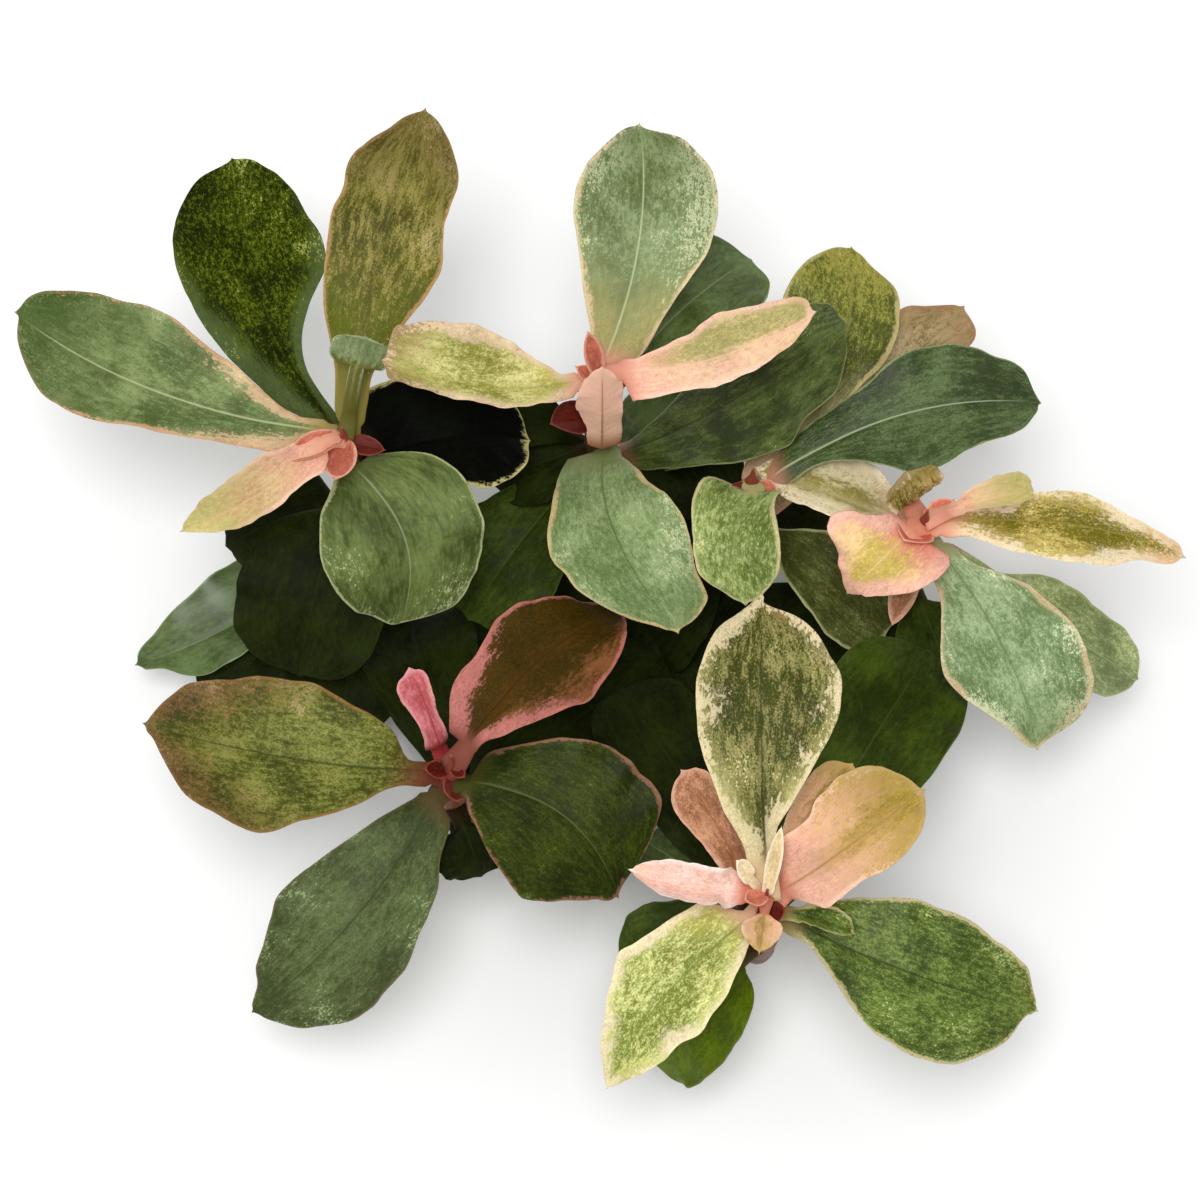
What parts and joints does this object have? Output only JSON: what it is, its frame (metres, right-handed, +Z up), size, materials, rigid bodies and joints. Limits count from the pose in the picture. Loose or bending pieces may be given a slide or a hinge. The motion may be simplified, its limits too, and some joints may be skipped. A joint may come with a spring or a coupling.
{
  "type": "bucephalandra clump",
  "caption": "Low spreading aquarium plant: leafy shoots with oval leaves on red stems that rise from one creeping rhizome with short roots.",
  "frame": {"origin": "point on the flat underside of the rhizome, below the middle of the clump", "axes": "+Z up; +X to the right along the clump's longest spread; +Y away from the viewer"},
  "size_m": [0.1198, 0.0999, 0.0445],
  "materials": {
    "green_leaf": "glossy mid green leaf with cream speckles and a fine pale edge",
    "dark_leaf": "glossy very dark green older leaf",
    "mottled_leaf": "satin olive and gold mottled leaf with cream or pink edges",
    "pink_leaf": "satin salmon pink young leaf with an olive middle",
    "stem": "smooth dark red stem with pink sheaths",
    "rhizome": "matte brown green rhizome with pale roots"
  },
  "bodies": {
    "root": {"rhizome": "rhizome", "left_stem": "stem", "left_leaf_outer": "green_leaf", "left_leaf_dark": "dark_leaf", "left_leaf_upright": "mottled_leaf", "left_leaf_tiny": "green_leaf", "left_leaf_pink": "pink_leaf", "left_leaf_round": "green_leaf", "left_leaf_shaded": "dark_leaf", "left_leaf_low": "dark_leaf", "left_leaf_lowest": "dark_leaf", "back_stem": "stem", "back_leaf_upright": "green_leaf", "back_leaf_folded": "mottled_leaf", "back_leaf_left": "mottled_leaf", "back_leaf_spear": "pink_leaf", "back_leaf_front": "green_leaf", "back_leaf_behind": "dark_leaf", "back_leaf_low": "green_leaf", "back_leaf_lowest": "dark_leaf", "back_leaf_shaded": "dark_leaf", "middle_stem": "stem", "middle_leaf_long": "green_leaf", "middle_leaf_back": "mottled_leaf", "middle_leaf_behind": "mottled_leaf", "middle_leaf_front": "green_leaf", "middle_leaf_low": "dark_leaf", "middle_leaf_lowest": "dark_leaf", "right_stem": "stem", "right_leaf_outer": "mottled_leaf", "right_leaf_pink": "pink_leaf", "right_leaf_front": "green_leaf", "right_leaf_behind": "green_leaf", "right_leaf_small": "pink_leaf", "right_leaf_pale": "mottled_leaf", "right_leaf_spear": "mottled_leaf", "near_left_stem": "stem", "near_left_leaf_left": "mottled_leaf", "near_left_leaf_outer": "green_leaf", "near_left_leaf_broad": "green_leaf", "near_left_leaf_rosy": "pink_leaf", "near_left_leaf_spear": "pink_leaf", "near_left_leaf_front": "dark_leaf", "near_left_leaf_low": "dark_leaf", "near_left_leaf_lowest": "dark_leaf", "near_right_stem": "stem", "near_right_leaf_upright": "mottled_leaf", "near_right_leaf_outer": "mottled_leaf", "near_right_leaf_right": "green_leaf", "near_right_leaf_pink": "pink_leaf", "near_right_leaf_folded": "pink_leaf", "near_right_leaf_bud": "pink_leaf", "near_right_leaf_rosy": "pink_leaf", "near_right_leaf_behind": "pink_leaf", "near_right_leaf_rolled": "green_leaf", "near_right_leaf_shaded": "dark_leaf", "near_right_leaf_low": "dark_leaf", "near_right_leaf_lowest": "dark_leaf", "near_right_leaf_left": "dark_leaf"}
  },
  "joints": []
}
